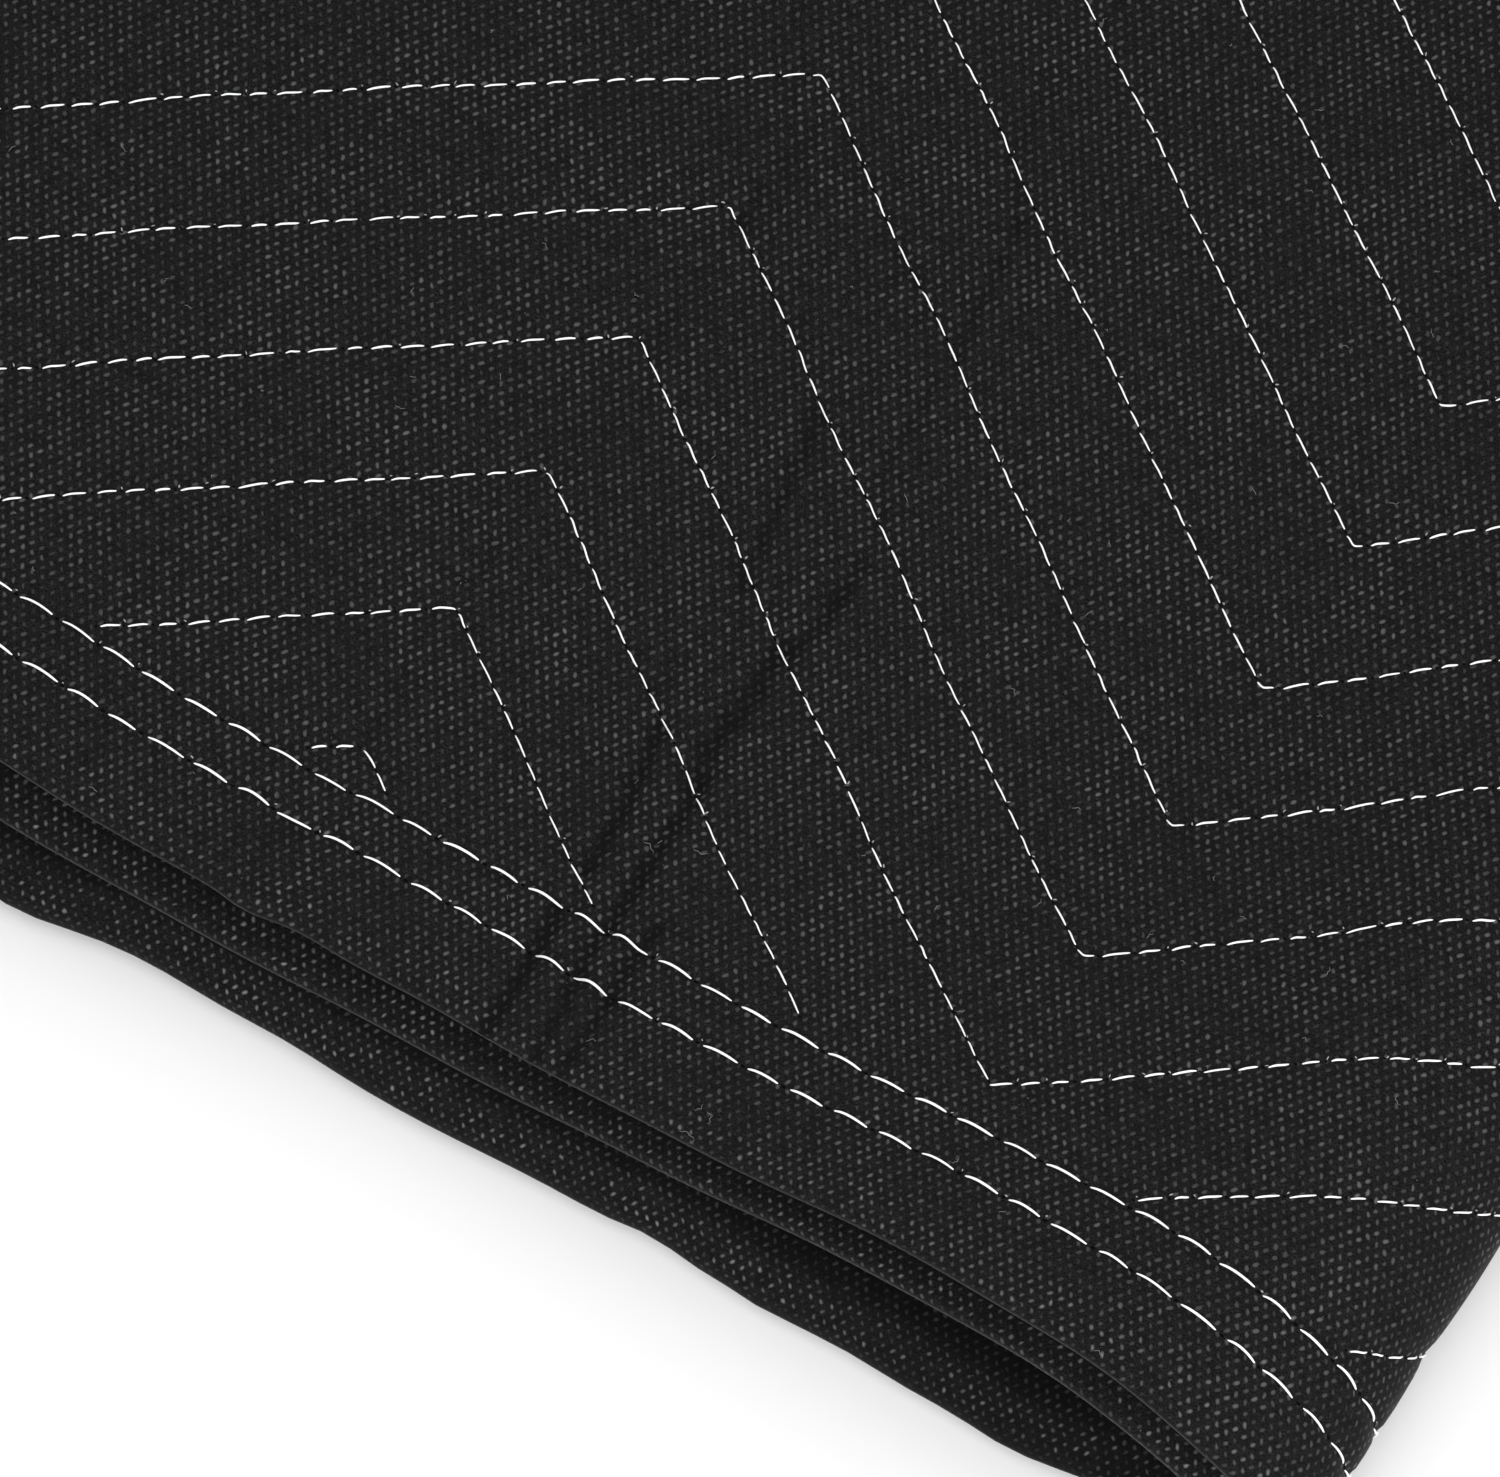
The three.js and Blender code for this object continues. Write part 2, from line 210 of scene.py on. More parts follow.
# Creases of the top face, as soft troughs: where each runs, its depth and its width
CREASES = [
    {"run": [(105, -3), (105, 14), (104, 21), (105, 27)], "depth": 0.9, "width": 1.5},
    {"run": [(101, -3), (100, 9), (98, 22)], "depth": 0.9, "width": 1.5},
    {"run": [(99, 24), (98, 39), (98, 51)], "depth": 1.0, "width": 1.5},
    {"run": [(96, 51), (96, 60), (97, 68), (96, 74)], "depth": 1.0, "width": 2.1},
    {"run": [(98, 76), (99, 82), (99, 87)], "depth": 0.8, "width": 1.8},
    {"run": [(99, 87), (99, 92)], "depth": 0.5, "width": 1.9},
    {"run": [(99, 92), (98, 99)], "depth": 0.3, "width": 1.9},
    {"run": [(98, 101), (94, 108), (93, 123)], "depth": 0.5, "width": 1.0},
    {"run": [(97, 107), (95, 116)], "depth": 0.4, "width": 0.9},
    {"run": [(93, 130), (92, 140), (90, 152)], "depth": 0.5, "width": 1.3},
    {"run": [(90, 152), (83, 161), (82, 177)], "depth": 0.35, "width": 1.5},
    {"run": [(92, -3), (92, 9), (91, 22)], "depth": 0.9, "width": 1.5},
    {"run": [(91, 30), (90, 44), (88, 55)], "depth": 0.95, "width": 1.4},
    {"run": [(84, 60), (84, 66)], "depth": 0.4, "width": 1.3},
    {"run": [(86, 80), (84, 95), (81, 111)], "depth": 0.7, "width": 1.2},
    {"run": [(91, 80), (91, 87)], "depth": 0.25, "width": 1.0},
    {"run": [(86, 110), (85, 119)], "depth": 0.25, "width": 1.0},
    {"run": [(84, 37), (88, 31)], "depth": 0.35, "width": 1.0},
    {"run": [(55, 131), (56, 147)], "depth": 0.5, "width": 2.0},
    {"run": [(58, 133), (59, 141)], "depth": 0.35, "width": 1.8},
    {"run": [(54, 131), (68, 121)], "depth": 0.4, "width": 1.1},
    {"run": [(61, 151), (66, 147)], "depth": 0.4, "width": 1.2},
    {"run": [(76, 140), (83, 135)], "depth": 0.4, "width": 1.2},
    {"run": [(55, 106), (54, 119)], "depth": 0.4, "width": 2.0},
    {"run": [(54, 82), (53, 91), (54, 98)], "depth": 0.35, "width": 1.8},
    {"run": [(51, 57), (52, 63), (52, 69)], "depth": 0.3, "width": 1.7},
    {"run": [(52, 29), (52, 43)], "depth": 0.35, "width": 1.6},
    {"run": [(42, 81), (43, 91)], "depth": 0.25, "width": 1.2},
    {"run": [(42, 60), (43, 67)], "depth": 0.25, "width": 1.2},
    {"run": [(12, 30), (12, 38), (13, 44)], "depth": 0.3, "width": 1.6},
    {"run": [(18, 40), (16, 47)], "depth": 0.25, "width": 1.6},
    {"run": [(41, 1), (39, 15), (40, 22)], "depth": 0.25, "width": 1.6},
    {"run": [(50, 3), (49, 14)], "depth": 0.35, "width": 2.2},
    {"run": [(18, 3), (19, 9), (18, 13)], "depth": 0.25, "width": 2.0},
    {"run": [(120, 300), (112, 360), (118, 430)], "depth": 0.5, "width": 3.4},
    {"run": [(60, 520), (75, 590), (72, 640)], "depth": 0.45, "width": 3.4},
    {"run": [(-120, 240), (-108, 310), (-116, 370)], "depth": 0.45, "width": 4.0},
    {"run": [(-60, 690), (-52, 760), (-66, 820)], "depth": 0.45, "width": 4.0},
    {"run": [(104, 830), (96, 900), (100, 1004)], "depth": 0.5, "width": 3.4},
    {"run": [(-150, 1004), (-146, 930)], "depth": 0.45, "width": 4.0},
]


# A low ridge on both sides of a crease: its height as a share of the depth, and its place in widths
RIDGE = 0.3
RIDGE_AWAY = 2.4


def distance_to_run(x, y, run):
    nearest = np.full(np.shape(x), np.inf)
    for (ax, ay), (bx, by) in zip(run, run[1:]):
        dx, dy = bx - ax, by - ay
        t = np.clip(((x - ax) * dx + (y - ay) * dy) / (dx * dx + dy * dy), 0, 1)
        nearest = np.minimum(nearest, np.hypot(x - ax - t * dx, y - ay - t * dy))
    return nearest


def crease_at(x, y):
    depth = np.zeros(np.shape(x))
    for crease in CREASES:
        away = distance_to_run(x, y, crease["run"]) / crease["width"]
        trough = np.exp(-(away**2)) - RIDGE * np.exp(-((away - RIDGE_AWAY) ** 2))
        depth = depth + crease["depth"] * trough
    return depth


# Quilting and hems
LINE_DIP = 0.6  # of the narrow groove that the thread pulls in
LINE_WIDTH = 1.7
LINE_POWER = 1.4
PILLOW_DIP = 0.25  # of the broad hollow round it
PILLOW_WIDTH = 6.5
CORNER_ROUNDING = 0.4
# Wandering of the quilting lines: how far, its length along the cloth and across it, and its start
WOBBLES = [(0.22, 10.7, 6.3, 0.0), (0.16, 4.9, -13.1, 2.0)]
QUILT_END = 24.4  # inset where the quilting stops
GROOVE_FADE = (22.9, 25.4)  # insets between which its grooves begin
HEM_ROWS = (14.6, 22.7)  # insets of its two rows of stitches
HEM_DIP = 0.55
HEM_WIDTH = 1.3
LEG_LENGTH = math.hypot(LEG, LEG_RISE * GAUGE)
LINE_COS = LEG / LEG_LENGTH

# Edges: a thin lip at the upper face of each ply, over a hollow
LIP = 1.4  # how far above the ply's middle it lies
RIM = 0.35  # half its thickness
EDGE_ABOVE = 1.5  # reach of the rounding above and below
EDGE_BELOW = 4.2
DROOP = 4.2  # of the third ply's front edge, where it reaches past the bottom ply
DROOP_LIP = -0.8
DROOP_BACK = 1.7  # how far the hang draws that edge back
DROOP_INNER = 2.5  # how far behind the bottom ply's edge the hang begins
DROOP_FADE = 1.1  # where it has ended, as a share of the width that hangs
DROOP_FROM, DROOP_FULL = 8, 30  # lengths from the inner fold over which it grows
# Waves of all front and back edges: how far, length and start
EDGE_WAVES = [(0.22, 13.7, 0.4), (0.14, 6.1, 2.0), (0.3, 29.0, 1.1)]
EDGE_WAVE_REACH = 24.0  # how far into the cloth they fade
# Uneven places of two plies' front edges: x, reach and shift backwards
EDGE_KINKS = {
    "top": [(51, 4, -0.7), (61, 6, 0.5), (120, 26, -0.4), (168, 18, 0.5), (222, 22, -1.3)],
    "third": [
        (18, 10, -1.5),
        (42, 14, 1.1),
        (62, 10, 0.7),
        (125, 6, 1.0),
        (144, 5, -0.5),
        (160, 7, 0.5),
        (187, 9, -1.4),
    ],
}


def zigzag_at(s):
    legs = np.abs((s - SECTION.nose_at - LOW_CORNER) / LEG) % 2
    share = np.where(legs < 1, legs, 2 - legs)
    soft = CORNER_ROUNDING / LEG
    low, high = np.hypot(share, soft), 1 - np.hypot(1 - share, soft)
    return LEG_RISE * GAUGE * np.where(share < 0.5, low, high)


def wobble_at(s, v):
    """Small wandering of the quilting lines."""
    return sum(far * np.sin(s / along + v / across + start) for far, along, across, start in WOBBLES)


def quilting_dip(s, v):
    share = (v - wobble_at(s, v) - FIELD_INSET - zigzag_at(s)) / GAUGE
    away = np.abs(share - np.round(share)) * GAUGE * LINE_COS
    line = LINE_DIP * np.exp(-((away / LINE_WIDTH) ** LINE_POWER))
    pillow = PILLOW_DIP * np.exp(-((away / PILLOW_WIDTH) ** 2))
    inset = np.minimum(v, WIDTH - v)
    return (line + pillow) * ease(inset, *GROOVE_FADE)


def hem_dip(v):
    inset = np.minimum(v, WIDTH - v)
    return sum(HEM_DIP * np.exp(-(((inset - row) / HEM_WIDTH) ** 2)) for row in HEM_ROWS)


def hang_at(s, v, x):
    """How much the third ply's front edge hangs down: 1 at the edge, 0 where the ply lies."""
    past = slip_of_ply("third", x) - slip_of_ply("bottom", x) + DROOP_INNER
    grown = ease(s, SECTION.inner_nose_at + DROOP_FROM, SECTION.inner_nose_at + DROOP_FULL)
    return (1 - ease(v / past, 0, DROOP_FADE)) * grown


def edge_dip(s, v, upward, lip):
    """How far a face falls back at the ribbon's edges. upward is 1 on its upper face, -1 on its lower."""
    inset = np.minimum(np.minimum(v, WIDTH - v), np.minimum(s, SECTION.length - s))
    reach = EDGE_BELOW + (EDGE_ABOVE - EDGE_BELOW) * (1 + upward) / 2
    left = np.clip(1 - inset / reach, 0, 1)
    return (HALF - RIM - lip * upward) * (1 - np.sqrt(1 - left**2))


def edge_shift(s, v, x, on_top):
    """Small forward and backward waves of a ply's front and back edges."""
    near = np.exp(-np.minimum(v, WIDTH - v) / EDGE_WAVE_REACH)
    shift = sum(far * np.sin(s / along + start) for far, along, start in EDGE_WAVES)
    for on_ply, name in ((on_top, "top"), (s > SECTION.inner_nose_at, "third")):
        kinks = sum(back * np.exp(-(((x - at) / reach) ** 2)) for at, reach, back in EDGE_KINKS[name])
        shift = shift + np.where(on_ply & (v < WIDTH / 2), kinks, 0.0)
    return shift * near


QUILTED_TO = SECTION.small_end
SECOND_LOWEST = 12  # the inner fold sinks with the second ply down to this height


def cloth_point(s, v, side=1, lift=0.0):
    """A place on the outward face, side 1, or the inward face, side -1, as x, y, z."""
    s, v = np.broadcast_arrays(np.asarray(s, float), np.asarray(v, float))
    x, z, out_x, out_z = SECTION.frame(s)
    on_top = (s > SECTION.nose_at) & (s < SECTION.top_end)
    y = v - slip_at(s, x) + edge_shift(s, v, x, on_top)
    dip = hem_dip(v)
    if side > 0:
        dip = dip + np.where(s < QUILTED_TO, quilting_dip(s, v), 0.0)
        dip = dip + np.where(on_top, crease_at(x, y), 0.0)
    hang = hang_at(s, v, x)
    y = y + DROOP_BACK * hang
    dip = np.minimum(dip, HALF - RIM) + edge_dip(s, v, side * out_z, LIP + (DROOP_LIP - LIP) * hang)
    out = side * (HALF - dip + lift)
    rise = swell_at(s, x, y)
    second = (s > SECTION.small_end) & (s < SECTION.inner_nose_at) & (z > SECOND_LOWEST)
    rise = np.where(second, np.maximum(rise, along_ply(PLIES["third"], x) + CLEAR - z), rise)
    return np.stack([x + out_x * out, y, z + out_z * out + rise - DROOP * hang], -1)


# Where the section's zero lies in the frame
box_low, box_high = (np.array(corner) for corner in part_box("pad"))
TO_FRAME = np.array(
    [box_high[0] / MM - NOSE_X - HALF, box_low[1] / MM + SLIPS["third"][0], box_low[2] / MM]
)


def to_metres(points):
    return (points + TO_FRAME) * MM


# Camera, at the photograph's viewing angle
AZIMUTH, ELEVATION, ROLL = math.radians(33.4), math.radians(66.0), math.radians(-1.63)
DISTANCE = 2500.0
AIM = (100.3, 60.0, 24.0)
LENS = 410.3
SENSOR = 36.0
CLIP = (0.05, 60.0)


def make_camera():
    forward = Vector(
        (
            -math.sin(AZIMUTH) * math.cos(ELEVATION),
            math.cos(AZIMUTH) * math.cos(ELEVATION),
            -math.sin(ELEVATION),
        )
    )
    level = Vector((math.cos(AZIMUTH), math.sin(AZIMUTH), 0))
    up = level.cross(forward)
    right = math.cos(ROLL) * level + math.sin(ROLL) * up
    above = math.cos(ROLL) * up - math.sin(ROLL) * level
    camera = bpy.data.objects.new("camera", bpy.data.cameras.new("camera"))
    camera.data.lens = LENS
    camera.data.sensor_width = SENSOR
    camera.data.clip_start, camera.data.clip_end = CLIP
    place = Vector(to_metres(np.array(AIM))) - forward * DISTANCE * MM
    camera.matrix_world = Matrix.Translation(place) @ Matrix((right, above, -forward)).transposed().to_4x4()
    bpy.context.collection.objects.link(camera)
    bpy.context.scene.camera = camera


make_camera()

# Mesh of the pad
FINE_SHARES = (0, 0.04, 0.09, 0.16, 0.26, 0.38, 0.5, 0.62, 0.74, 0.84, 0.91, 0.96)
MIDDLE_SHARES = (0, 0.08, 0.35, 0.65, 0.92)
COARSE_SHARES = (0, 0.14, 0.5, 0.86)
FINE_LINES = 6  # lines from the front hem with fine rows
VIEW_X = -64.0  # the photographed corner reaches back to here
EDGE_INSETS = (0, 0.2, 0.5, 0.9, 1.5, 2.6, 4.2)
HEM_FINE = EDGE_INSETS + (7, 10, 12.6, 13.7, 14.6, 15.5, 16.6, 19, 21, 21.9, 22.7, 23.5, 24.4)
HEM_PLAIN = EDGE_INSETS + (7, 12.6, 14.6, 16.6, 20.7, 22.7, 24.4)
PLAIN_FRONT = (34, 45, 60, 80, 100, 122, 146, 172, 200, 232, 270)
PLAIN_STEP = 70.0
PLAIN_BACK = 40  # inset of the last plain row before the back hem
# Columns on the quilted face that lie closer, along the creases: from x to x, and their spacing
CLOSE_COLUMNS = [(80, 107, 0.8), (38, 62, 1.5)]
UNDER_STEP = 9.0
# Spacing in the photographed corner and beyond it
FINE_STEPS = (2.45, 7.0)
PLAIN_STEPS = (4.9, 14.0)
FEWER = 3  # beyond the corner the inward face has one column for so many of the outward face
FOLD_DEPTH = 12  # reach of the small fold, where it has them all
SNAPS = {"coarse": 4.6, "near": 1.3, "far": 3.6}  # how far a column moves to a corner of the quilting
CORNER_LEGS = range(-6, 14)  # legs of the zigzag whose corners the ribbon has, by their count
LAST_SNAP = 20  # columns stay where they are nearer than this to the quilting's end
WALK_STEP = 0.3
LEAST_STEP = 0.8
HAIR = 0.001


def with_hems(front, back, field):
    return np.r_[np.array(front, float), field, WIDTH - np.array(back, float)[::-1]]


def quilted_rows(s, fine):
    low, high = QUILT_END, WIDTH - QUILT_END
    rows = []
    for line in range(-LEG_RISE, GAUGES + 1):
        if fine:
            shares = FINE_SHARES if line < FINE_LINES else MIDDLE_SHARES
        else:
            shares = COARSE_SHARES
        rows += [line + share for share in shares]
    across = FIELD_INSET + np.array(rows) * GAUGE + zigzag_at(s)
    front = HEM_FINE if fine else HEM_PLAIN
    return with_hems(front, HEM_PLAIN, np.clip(across, low + HAIR, high - HAIR))


def plain_rows():
    field = np.r_[PLAIN_FRONT, np.arange(PLAIN_FRONT[-1] + PLAIN_STEP, WIDTH - PLAIN_BACK, PLAIN_STEP)]
    return with_hems(HEM_PLAIN, HEM_PLAIN, field)


def walk(start, end, steps, turn=11.0):
    """Places from start to end, as far apart as steps says for their x, closer where the section turns."""
    places = [start]
    s, last = start, SECTION.frame(start)
    while s < end:
        s += WALK_STEP
        now = SECTION.frame(s)
        turned = math.degrees(math.acos(min(1.0, last[2] * now[2] + last[3] * now[3])))
        if s - places[-1] >= steps(now[0]) or turned > turn:
            places.append(s)
            last = now
    if end - places[-1] < LEAST_STEP:
        places.pop()
    return places + [end]


def fine_step(x):
    for low, high, step in CLOSE_COLUMNS:
        if low < x < high:
            return step
    return FINE_STEPS[0] if x > VIEW_X else FINE_STEPS[1]


def plain_step(x):
    return PLAIN_STEPS[0] if x > VIEW_X else PLAIN_STEPS[1]


def outer_columns():
    """Places along the ribbon for its outward face, and how its rows run at each."""
    small_end, last = SECTION.small_end, EDGE_INSETS[-1]
    spans = [
        (last, SECTION.bottom_end, lambda x: UNDER_STEP, "coarse"),
        (SECTION.bottom_end, small_end, fine_step, "fine"),
        (small_end, SECTION.length - last, plain_step, "plain"),
    ]
    columns = [(inset, "coarse") for inset in EDGE_INSETS[:-1]]
    for start, end, steps, rows in spans:
        columns += [(s, rows) for s in walk(start, end, steps)[:-1]]
    columns += [(SECTION.length - inset, "plain") for inset in EDGE_INSETS[::-1]]
    corners = SECTION.nose_at + LOW_CORNER + LEG * np.array(CORNER_LEGS)
    snapped = []
    for s, rows in columns:
        near = corners[np.abs(corners - s).argmin()]
        quilted = last < s < small_end - LAST_SNAP
        kind = "coarse" if rows == "coarse" else "near" if SECTION.point(s)[0] > VIEW_X else "far"
        snapped.append((near if quilted and abs(near - s) < SNAPS[kind] else s, rows))
    return [c for i, c in enumerate(snapped) if i == 0 or c[0] > snapped[i - 1][0] + 1e-6]


def inner_columns(outer):
    """The inward face has the same places in view, and fewer elsewhere."""
    columns = []
    for i, (s, _) in enumerate(outer):
        x, _ = SECTION.point(s)
        at_end = min(s, SECTION.length - s) < 2 * EDGE_INSETS[-1]
        if x > VIEW_X or at_end or i % FEWER == 0 or x < SMALL_FOLD_X + FOLD_DEPTH:
            columns.append((s, "plain"))
    return columns


class Surface:
    def __init__(self):
        self.points = []
        self.cloth = []
        self.creases = []
        self.triangles = []
        self.count = 0

    def add(self, points, cloth, creases):
        start = self.count
        self.points.append(points)
        self.cloth.append(cloth)
        self.creases.append(creases)
        self.count += len(points)
        return np.arange(start, self.count)

    def join(self, here, following, facing_out):
        """Joins two neighbouring columns, each as rows and indices, by their nearest rows."""
        (rows_a, a), (rows_b, b) = here, following
        alike = len(rows_a) == len(rows_b)
        i = j = 0
        end_a, end_b = len(rows_a) - 1, len(rows_b) - 1
        made = self.triangles
        while i < end_a or j < end_b:
            if alike:
                step_a = i == j
            elif i == end_a or j == end_b:
                step_a = j == end_b
            else:
                step_a = rows_a[i + 1] <= rows_b[j + 1]
            if step_a:
                corners = (a[i], a[i + 1], b[j])
                i += 1
            else:
                corners = (a[i], b[j + 1], b[j])
                j += 1
            if corners[0] != corners[1] and corners[1] != corners[2] and corners[0] != corners[2]:
                made.append(corners if facing_out else corners[::-1])


def merged(rows, indices):
    """Indices in which rows at one place share one point."""
    indices = list(indices)
    for i in range(1, len(rows)):
        if rows[i] - rows[i - 1] < 1e-6:
            indices[i] = indices[i - 1]
    return indices


ROUNDED_TO = 4.2  # inset up to which lengths follow the edges' rounding


def laid_flat(rows, points):
    """The rows' places across the flat cloth, which goes a little further where an edge is rounded."""
    curved = np.linalg.norm(np.diff(points, axis=0), axis=1)
    rounded = (rows[1:] <= ROUNDED_TO) | (rows[:-1] >= WIDTH - ROUNDED_TO)
    places = np.r_[0, np.cumsum(np.where(rounded, curved, np.diff(rows)))]
    return places + ROUNDED_TO - np.interp(ROUNDED_TO, rows, places)


def add_face(surface, places, side):
    """All columns of one face, each as its s, its rows' v and its points' indices, joined to each other."""
    columns = []
    for s, kind in places:
        rows = plain_rows() if kind == "plain" else quilted_rows(s, kind == "fine")
        points = cloth_point(s, rows, side)
        on_top = side > 0 and SECTION.nose_at < s < SECTION.top_end
        creases = crease_at(points[:, 0], points[:, 1]) if on_top else np.zeros(len(rows))
        indices = surface.add(points, np.c_[np.full(len(rows), s), laid_flat(rows, points)], creases)
        columns.append((s, rows, merged(rows, indices)))
    for (_, *here), (_, *following) in zip(columns, columns[1:]):
        surface.join(here, following, side > 0)
    return columns


def pad_mesh():
    surface = Surface()
    places = outer_columns()
    outer, inner = add_face(surface, places, 1), add_face(surface, inner_columns(places), -1)
    ends = ((0, True), (-1, False))
    for end, facing_out in ends:
        surface.join(inner[end][1:], outer[end][1:], facing_out)
    for end, facing_out in ends:
        rims = [([s for s, _, _ in face], [at[end] for _, _, at in face]) for face in (outer, inner)]
        surface.join(*rims, facing_out)
    mesh = bpy.data.meshes.new("pad_cloth")
    mesh.from_pydata(to_metres(np.vstack(surface.points)).tolist(), [], surface.triangles)
    cloth = np.vstack(surface.cloth) * MM
    loops = np.empty(len(mesh.loops), dtype=np.int32)
    mesh.loops.foreach_get("vertex_index", loops)
    layer = mesh.uv_layers.new(name="cloth")
    layer.data.foreach_set("uv", cloth[loops].astype(np.float32).ravel())
    depths = mesh.attributes.new("crease", "FLOAT", "POINT")
    depths.data.foreach_set("value", np.concatenate(surface.creases).astype(np.float32))
    print("pad triangles", len(mesh.polygons))
    return mesh


# Materials
class Nodes:
    """A material's nodes, made by short calls."""

    def __init__(self, name):
        self.material = bpy.data.materials.new(name)
        self.material.use_nodes = True
        self.tree = self.material.node_tree
        self.shader = self.tree.nodes["Principled BSDF"]

    def link(self, value, socket):
        if isinstance(value, bpy.types.NodeSocket):
            self.tree.links.new(value, socket)
        else:
            socket.default_value = value

    def math(self, operation, *values):
        node = self.tree.nodes.new("ShaderNodeMath")
        node.operation = operation
        for value, socket in zip(values, node.inputs):
            self.link(value, socket)
        return node.outputs[0]

    def noise(self, vector, scale, detail=3.0, roughness=0.5):
        node = self.tree.nodes.new("ShaderNodeTexNoise")
        self.link(vector, node.inputs["Vector"])
        node.inputs["Scale"].default_value = scale
        node.inputs["Detail"].default_value = detail
        node.inputs["Roughness"].default_value = roughness
        return node.outputs["Fac"]

    def cell(self, vector):
        node = self.tree.nodes.new("ShaderNodeTexWhiteNoise")
        node.noise_dimensions = "3D"
        self.link(vector, node.inputs["Vector"])
        return node.outputs["Value"]

    def attribute(self, name):
        node = self.tree.nodes.new("ShaderNodeAttribute")
        node.attribute_name = name
        return node.outputs["Fac"]

    def combine(self, x, y, z=0.0):
        node = self.tree.nodes.new("ShaderNodeCombineXYZ")
        for value, socket in zip((x, y, z), node.inputs):
            self.link(value, socket)
        return node.outputs[0]

    def step(self, value, start, end, low=0.0, high=1.0):
        node = self.tree.nodes.new("ShaderNodeMapRange")
        node.interpolation_type = "SMOOTHSTEP"
        names = ("Value", "From Min", "From Max", "To Min", "To Max")
        for given, name in zip((value, start, end, low, high), names):
            self.link(given, node.inputs[name])
        return node.outputs["Result"]

    def mix(self, share, first, second):
        node = self.tree.nodes.new("ShaderNodeMix")
        node.data_type = "RGBA"
        self.link(share, node.inputs[0])
        self.link(first, node.inputs[6])
        self.link(second, node.inputs[7])
        return node.outputs[2]

    def bump(self, height, distance, strength=1.0, normal=None):
        node = self.tree.nodes.new("ShaderNodeBump")
        node.inputs["Distance"].default_value = distance
        node.inputs["Strength"].default_value = strength
        self.link(height, node.inputs["Height"])
        if normal is not None:
            self.link(normal, node.inputs["Normal"])
        return node.outputs["Normal"]


DASH_ALONG = 1.70  # the bond pattern's repeat along the pad
DASH_ACROSS = 2.57
DASH_HALF_LENGTH = 0.40
DASH_HALF_WIDTH = 0.25


def dashes(nodes, s, v):
    """Bond points: short soft dashes, in turn along the one and the other diagonal of their lattice."""
    diagonal = math.hypot(DASH_ALONG, DASH_ACROSS)
    cos, sin = DASH_ALONG / diagonal, DASH_ACROSS / diagonal
    marks, cores = [], []
    for shift, turn in ((0.0, -1.0), (0.5, 1.0)):
        along = nodes.math("ADD", nodes.math("DIVIDE", s, DASH_ALONG * MM), shift)
        across = nodes.math("ADD", nodes.math("DIVIDE", v, DASH_ACROSS * MM), shift)
        column, row = nodes.math("ROUND", along), nodes.math("ROUND", across)
        x = nodes.math("MULTIPLY", nodes.math("SUBTRACT", along, column), DASH_ALONG)
        y = nodes.math("MULTIPLY", nodes.math("SUBTRACT", across, row), DASH_ACROSS)
        own = nodes.cell(nodes.combine(column, row, 10 * shift))
        length = nodes.math("ADD", nodes.math("MULTIPLY", x, cos), nodes.math("MULTIPLY", y, sin * turn))
        width = nodes.math("SUBTRACT", nodes.math("MULTIPLY", y, cos), nodes.math("MULTIPLY", x, sin * turn))
        far = nodes.math(
            "ADD",
            nodes.math("POWER", nodes.math("DIVIDE", length, DASH_HALF_LENGTH), 2.0),
            nodes.math("POWER", nodes.math("DIVIDE", width, DASH_HALF_WIDTH), 2.0),
        )
        far = nodes.math("DIVIDE", far, nodes.math("ADD", 0.75, nodes.math("MULTIPLY", own, 0.55)))
        shape = nodes.step(far, 0.1, 1.9, 1.0, 0.0)
        strength = nodes.math("ADD", 0.35, nodes.math("MULTIPLY", own, 0.75))
        marks.append(nodes.math("MULTIPLY", shape, strength))
        middle = nodes.step(far, 0.0, 0.9, 1.0, 0.0)
        cores.append(nodes.math("MULTIPLY", middle, nodes.math("POWER", own, 2.0)))
    return nodes.math("MAXIMUM", *marks), nodes.math("MAXIMUM", *cores)


# Colours of the cloth: in its hollows, on its fibres, on a dot, lighter partly as painted sheen for the
# dots' gloss, and on a dot's painted glint
HOLLOW = (0.0008, 0.0008, 0.0009, 1)
FIBRE = (0.0152, 0.0152, 0.0156, 1)
# Lighter than the fibres: partly the bond points' own tone, partly painted sheen for their gloss
DOT = (0.057, 0.057, 0.0585, 1)
# A dot's middle with a painted glint
GLINT_DOT = (0.17, 0.17, 0.17, 1)
# Patterns of the cloth: scale, detail and roughness
PATTERNS = {
    "jitter": (650.0, 2.0, 0.5),
    "patchy": (75.0, 4.0, 0.6),
    "grain": (3200.0, 2.0, 0.6),
    "mottle": (480.0, 3.0, 0.6),
    "specks": (1700.0, 1.0, 0.5),
}
JITTER = 0.6 * MM  # of the dots' places
GRAIN_STRETCH = 1.8
RELIEF = 0.1 * MM


def painted_shade(nodes, s, inset, patchy):
    """Painted shade: the cloth darker and its dots fainter in creases, inside the lower plies and by the
    inner fold.
    """
    # Painted shade in the creases, broken up in patches
    crease = nodes.math("MULTIPLY", nodes.attribute("crease"), nodes.step(patchy, 0.3, 0.6, 0.6, 1.1))
    crease_shade = nodes.step(crease, 0.0, 0.8, 1.0, 0.5)
    lower = nodes.step(s, (SECTION.small_end - 5) * MM, (SECTION.small_end + 5) * MM)
    # Painted shade on the lower plies, further in from their front edges, where the plies above cover them
    inner = nodes.math("MULTIPLY", lower, nodes.step(inset, 3.5 * MM, 10 * MM))
    unshaded = nodes.math("MULTIPLY", crease_shade, nodes.step(inner, 0.0, 1.0, 1.0, 0.55))
    # Painted shade on the third ply by the inner fold, under the second ply
    fold = SECTION.inner_nose_at
    fold_shade_from = nodes.step(s, (fold - 5) * MM, (fold + 5) * MM, 1.0, 0.45)
    fold_shade_to = nodes.step(s, (fold + 20) * MM, (fold + 90) * MM, 0.45, 0.85)
    return nodes.math("MULTIPLY", unshaded, nodes.math("MAXIMUM", fold_shade_from, fold_shade_to)), lower


